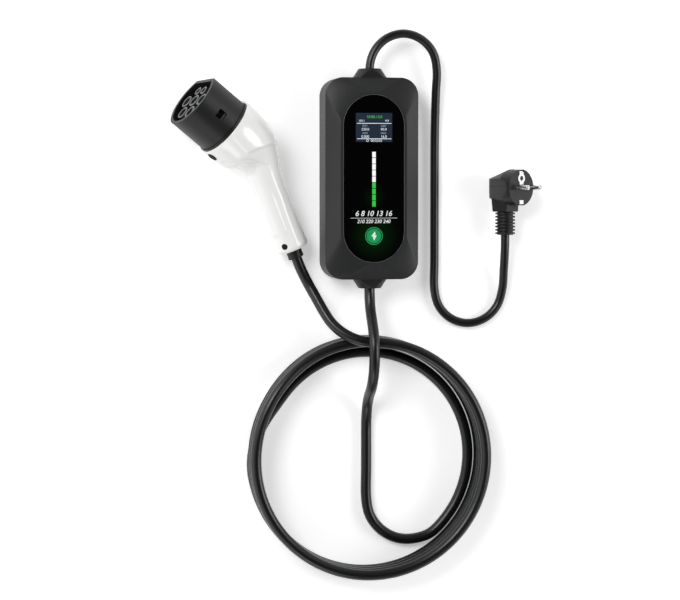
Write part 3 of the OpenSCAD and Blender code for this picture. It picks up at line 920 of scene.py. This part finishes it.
# The screen's rows: piece, finish, and each text with its size and its place across and up from
# the screen's middle, in millimetres.
SCREEN_ROWS = (
    ("screen_mode", "screen_green", (("10:00-13.0", 3.8, 0.4, 10.6),)),
    ("screen_labels", "screen_dim", (
        ("0001", 2.8, -9.2, 1.7), ("0002", 2.8, 9.8, 1.5),
        ("0003", 2.8, -9.2, -5.9), ("0004", 2.8, 9.8, -5.9))),
    ("screen_readings", "screen_ink", (
        ("1011", 3.2, -12.7, 6.6), ("9.9", 3.2, 13.4, 6.6), ("220.0", 3.6, -9.0, -1.9),
        ("00.0", 3.6, 10.0, -1.9), ("0.000", 3.6, -9.0, -9.3), ("16.0", 3.6, 10.0, -9.3),
        ("00:02:03", 3.4, 2.4, -13.4))),
)


class CHARGER_OT_screen(bpy.types.Operator):
    """Lays out the screen: header, two rules, four readings and the timer, in plain numbers"""
    bl_idname = "charger.screen"
    bl_label = "Screen"

    def execute(self, context):
        glass = plate("screen_glass", 37.4 * MM, 29.2 * MM, (0, SCREEN_Y, TOP_FACE + 0.01 * MM),
                      0.06 * MM, 0.01 * MM)
        keep(glass, "screen_back", "screen")
        ink = TOP_FACE + 0.06 * MM
        rules = [plate("rule", 35.4 * MM, 0.6 * MM, (0.2 * MM, SCREEN_Y + up * MM, ink), 0.02 * MM)
                 for up in (4.1, -11.4)]
        keep(joined("screen_rules", rules), "screen_ink", "screen")
        for name, key, texts in SCREEN_ROWS:
            parts = [figures(name, words, size * MM,
                             Matrix.Translation((across * MM, SCREEN_Y + up * MM, ink)))
                     for words, size, across, up in texts]
            keep(joined(name, parts), key, "screen")
        clock = turned("screen_clock", [(0.85, 0.0), (0.85, 0.02), (1.25, 0.02), (1.25, 0.0)],
                       Matrix.Translation((-6.7 * MM, SCREEN_Y - 13.2 * MM, TOP_FACE + 0.05 * MM)),
                       24, True)
        keep(clock, "screen_ink", "screen")
        return {"FINISHED"}


class CHARGER_OT_lights(bpy.types.Operator):
    """Sets the light segments, five white over four green, and the printed rows and line"""
    bl_idname = "charger.lights"
    bl_label = "Light bar and print"

    def execute(self, context):
        one = plate("segment", 3.6 * MM, 5.6 * MM, (0, 0, 0), 0.12 * MM, 0.03 * MM)
        for name, key, rows in (("light_bar_white", "white_light", range(0, 5)),
                                ("light_bar_green", "green_light", range(5, 9))):
            parts = []
            for i in rows:
                part = linked(name, one.data.copy())
                part.data.transform(Matrix.Translation((0, (24.2 - 6.2 * i) * MM, TOP_FACE)))
                parts.append(part)
            keep(joined(name, parts), key, "led")
        bpy.data.objects.remove(one, do_unlink=True)
        # the printed line and figures are white ink with a painted glow
        line = plate("print_line", 47.8 * MM, 0.35 * MM, (0, -39.9 * MM, TOP_FACE + PRINT),
                     0.04 * MM)
        keep(line, "print_white_glow", "led")
        # the figures lean to the right
        lean = Matrix.Identity(4)
        lean[0][1] = 0.22
        for name, words, size, y in (("print_upper", "6 8 10 13 16", 7.4, -35.5),
                                     ("print_lower", "210 220 230 240", 5.0, -43.4)):
            at = Matrix.Translation((0, y * MM, TOP_FACE + PRINT)) @ lean
            keep(figures(name, words, size * MM, at, 0.016 * size * MM), "print_white_glow", "led")
        return {"FINISHED"}


class CHARGER_OT_touch(bpy.types.Operator):
    """Makes the lit touch button with its ring and its bolt sign"""
    bl_idname = "charger.touch"
    bl_label = "Touch button"

    def execute(self, context):
        at = Matrix.Translation((0, TOUCH_Y, TOP_FACE))
        ring = turned("touch_ring", [(8.3, -0.02), (8.35, 0.06), (8.9, 0.06), (8.95, -0.02)], at,
                      96, True)
        keep(ring, "touch_ring", "touch")
        disc = turned("touch_disc", [(7.5, -0.02), (7.4, 0.07), (6.9, 0.1), (2.0, 0.1)], at, 96)
        soften(disc, 35)
        keep(disc, "touch_green", "touch")
        bolt = slab("touch_bolt", ((0.83, 4.6), (-2.76, -0.37), (-0.46, -0.37), (-1.2, -1.1),
                                   (0.18, -4.78), (2.85, 0.64), (0.64, 0.64), (1.75, 2.02)), 0.06)
        bolt.data.transform(Matrix.Translation((0, TOUCH_Y, TOP_FACE + 0.1 * MM)))
        # the bolt is white ink with a painted glow
        keep(bolt, "print_white_glow", "touch")
        return {"FINISHED"}


class CHARGER_OT_nose(bpy.types.Operator):
    """Rounds the connector nose and its contact towers, painted a little lighter, and gives the
    towers pale rims, a painted highlight
    """
    bl_idname = "charger.nose"
    bl_label = "Connector nose"

    def execute(self, context):
        shroud = rounded_copy("nose_shroud", "connector_shroud", 0.7 * MM, 3)
        keep(shroud, "nose_pbt", "nose_black", "nose_shroud")
        towers = rounded_copy("contact_carrier", "connector_towers", 0.3 * MM)
        # the towers' lighter grey is painted light
        keep(towers, "tower_pbt_lit", "nose_black", "contact_carrier")
        # the towers' mouths, as far out along the nose's axis in millimetres
        mouth = 85.5
        rims = []
        for places, r in ((POWER_AT, 6.6), (SIGNAL_AT, 4.4)):
            profile = [(r - 1.0, -0.9), (r - 0.9, 0.05), (r - 0.5, 0.3), (r - 0.05, 0.15),
                       (r + 0.1, -0.6), (r - 0.2, -1.2)]
            for down, aside in places:
                at = NOSE_PLACE @ Matrix.Translation(Vector((mouth, down, aside)) * MM)
                rims.append(turned("rim", profile, at @ turn(90, "Y"), 40, True))
        # the rims' pale grey is a painted highlight on the towers' mouths
        rims = joined("tower_rims", rims)
        soften(rims, 60)
        keep(rims, "tower_rim_highlight", "nose_black")
        return {"FINISHED"}


def finger_flats():
    """Tools that cut a sloping flat and its parting line into each side of the plug's body.

    The flat slopes in from the plug's face to its back. The parting line is the same outline,
    0.6 mm deeper and 0.9 mm wide.
    """
    flat = ((19.7, -1.4), (8.4, -36), (30, -36), (30, -1.4))
    tools = []
    for side in (-1, 1):
        for sink, low, high in ((0.0, -10.4, 8.2), (0.6, 0.7, 1.6)):
            tool = slab("flat", [(side * (x - sink), z) for x, z in flat], high - low)
            stand = Matrix.Translation((0, high * MM, 0)) @ turn(90, "X")
            tool.data.transform(PLUG_PLACE @ stand)
            tools.append(tool)
    return tools


class CHARGER_OT_plug(bpy.types.Operator):
    """Rounds the angled mains plug with its pins and clips, the two boots and the dark caps"""
    bl_idname = "charger.plug"
    bl_label = "Mains plug"

    def execute(self, context):
        for node, width, key in (("plug_body", 0.9, "soft_pvc"), ("plug_boot", 0.4, "soft_pvc"),
                                 ("handle_boot", 0.6, "soft_pvc"), ("head_cap", 0.4, "dark_plug"),
                                 ("grip_cap", 0.3, "dark_plug"),
                                 ("earth_socket", 0.2, "earth_plate"),
                                 ("earth_clip", 0.2, "earth_plate"),
                                 ("plug_pin_left", 0.3, "nickel"),
                                 ("plug_pin_right", 0.3, "nickel")):
            cuts = finger_flats() if node == "plug_body" else ()
            obj = rounded_copy(node, "soft_" + node, width * MM, cuts=cuts)
            keep(obj, key, SLOTS[node], node)
        return {"FINISHED"}


OPERATORS = (CHARGER_OT_stage, CHARGER_OT_nodes, CHARGER_OT_handle, CHARGER_OT_box,
             CHARGER_OT_panel, CHARGER_OT_screen, CHARGER_OT_lights, CHARGER_OT_touch,
             CHARGER_OT_nose, CHARGER_OT_plug, CHARGER_OT_cables)


class CHARGER_PT_panel(bpy.types.Panel):
    """Lists the charger's pieces"""
    bl_idname = "CHARGER_PT_panel"
    bl_label = "Charger"
    bl_space_type = "VIEW_3D"
    bl_region_type = "UI"
    bl_category = "Charger"

    def draw(self, context):
        for op in OPERATORS:
            self.layout.operator(op.bl_idname)


CLASSES = (ChargerSizes, ChargerColours, *OPERATORS, CHARGER_PT_panel)


def register():
    for c in CLASSES:
        bpy.utils.register_class(c)
    bpy.types.Scene.charger_sizes = bpy.props.PointerProperty(type=ChargerSizes)
    bpy.types.Scene.charger_colours = bpy.props.PointerProperty(type=ChargerColours)


def unregister():
    del bpy.types.Scene.charger_colours
    del bpy.types.Scene.charger_sizes
    for c in reversed(CLASSES):
        bpy.utils.unregister_class(c)


def main():
    register()
    MATERIALS.update(make_materials())
    for op in OPERATORS:
        getattr(bpy.ops.charger, op.bl_idname.split(".")[1])()
    clean_slate()


if __name__ == "__main__":
    main()
